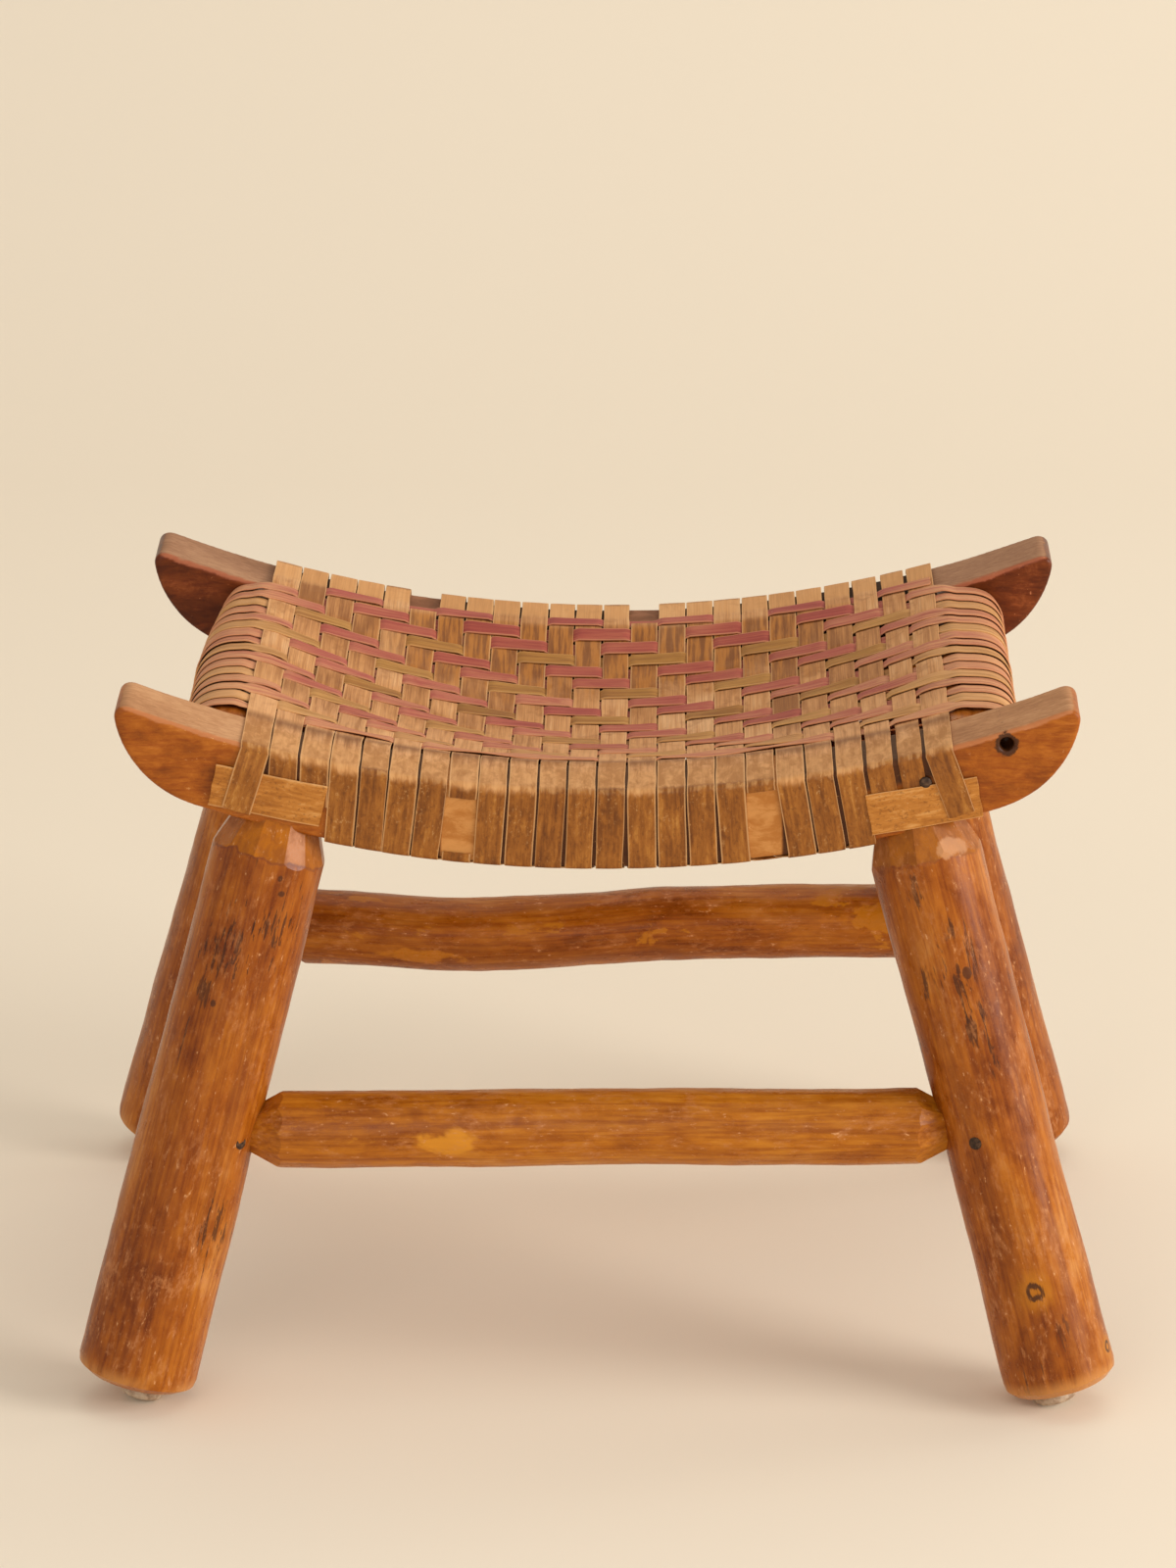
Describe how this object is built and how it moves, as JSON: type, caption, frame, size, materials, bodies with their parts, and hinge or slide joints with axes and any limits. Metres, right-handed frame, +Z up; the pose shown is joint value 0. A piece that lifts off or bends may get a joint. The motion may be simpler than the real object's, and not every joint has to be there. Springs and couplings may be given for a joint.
{
  "type": "stool",
  "caption": "Rustic low stool with a saddle-curved seat of woven wood splints between two horned rails, on splayed log legs joined by round stretchers",
  "frame": {"origin": "on the floor, under the middle of the seat", "axes": "+Z up, +X along the saddle rails to the right, front of the stool towards -Y"},
  "size_m": [0.5712, 0.4256, 0.3914],
  "materials": {
    "rail_wood": "worn satin varnish on sawn softwood, greyed on top",
    "log_wood": "worn satin varnish on peeled logs with bark flecks",
    "tan_splint": "dry split-wood strip, varnished on the rails' faces",
    "rose_splint": "dyed split-wood strip, faded rose",
    "olive_splint": "dyed split-wood strip, faded olive",
    "glide_plastic": "translucent nylon, scuffed",
    "nail_steel": "dull, darkened"
  },
  "bodies": {
    "root": {"front_rail": "rail_wood", "rear_rail": "rail_wood", "left_side_bar": "log_wood", "right_side_bar": "log_wood", "front_left_leg": "log_wood", "front_right_leg": "log_wood", "rear_left_leg": "log_wood", "rear_right_leg": "log_wood", "front_stretcher": "log_wood", "rear_stretcher": "log_wood", "front_left_glide": "glide_plastic", "front_right_glide": "glide_plastic", "rear_left_glide": "glide_plastic", "rear_right_glide": "glide_plastic", "nails": "nail_steel", "warp_splint_00": "tan_splint", "warp_splint_01": "tan_splint", "warp_splint_02": "tan_splint", "warp_splint_03": "tan_splint", "warp_splint_04": "tan_splint", "warp_splint_05": "tan_splint", "warp_splint_06": "tan_splint", "warp_splint_07": "tan_splint", "warp_splint_08": "tan_splint", "warp_splint_09": "tan_splint", "warp_splint_10": "tan_splint", "warp_splint_11": "tan_splint", "warp_splint_12": "tan_splint", "warp_splint_13": "tan_splint", "warp_splint_14": "tan_splint", "warp_splint_15": "tan_splint", "warp_splint_16": "tan_splint", "warp_splint_17": "tan_splint", "warp_splint_18": "tan_splint", "warp_splint_19": "tan_splint", "warp_splint_20": "tan_splint", "warp_splint_21": "tan_splint", "warp_splint_22": "tan_splint", "warp_splint_23": "tan_splint", "weft_splint_01": "rose_splint", "weft_splint_02": "rose_splint", "weft_splint_03": "rose_splint", "weft_splint_04": "olive_splint", "weft_splint_05": "rose_splint", "weft_splint_06": "rose_splint", "weft_splint_07": "olive_splint", "weft_splint_08": "rose_splint", "weft_splint_09": "rose_splint", "weft_splint_10": "olive_splint", "weft_splint_11": "rose_splint", "weft_splint_12": "rose_splint", "weft_splint_13": "olive_splint", "weft_splint_14": "rose_splint", "weft_splint_15": "rose_splint", "weft_splint_16": "olive_splint", "weft_splint_17": "rose_splint", "front_left_corner_strip": "tan_splint", "front_right_corner_strip": "tan_splint", "rear_left_corner_strip": "tan_splint", "rear_right_corner_strip": "tan_splint"}
  },
  "joints": []
}
